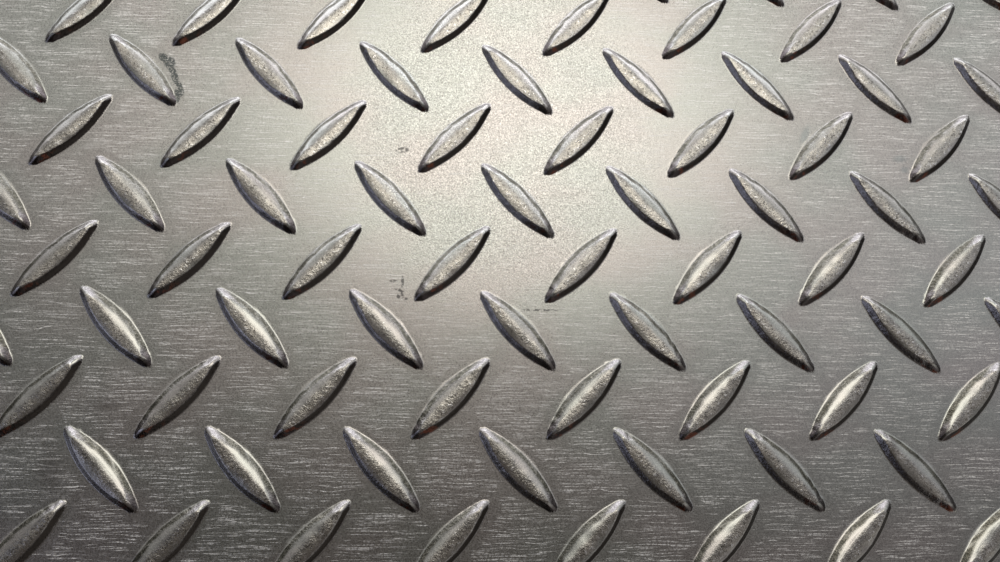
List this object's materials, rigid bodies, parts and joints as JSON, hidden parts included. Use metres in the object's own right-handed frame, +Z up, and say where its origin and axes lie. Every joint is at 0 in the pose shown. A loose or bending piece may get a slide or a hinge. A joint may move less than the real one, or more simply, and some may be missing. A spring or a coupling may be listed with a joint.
{
  "type": "checker steel plate",
  "caption": "Flat rectangular blank of hot-rolled steel checker plate: raised lens-shaped anti-slip lugs crossed in two directions on top, smooth underside, sheared edges.",
  "frame": {"origin": "centre of the flat underside, on the surface the plate lies on", "axes": "+X along the plate's length, which is the rolling direction, +Y across its width, +Z up, out of the face with the lugs"},
  "size_m": [0.4, 0.25, 0.0065],
  "materials": {
    "rolled_steel": "bare mill finish, as rolled, with fine scratches along the plate's length and grazed lug crests"
  },
  "bodies": {
    "root": {"checker_plate": "rolled_steel"}
  },
  "joints": []
}
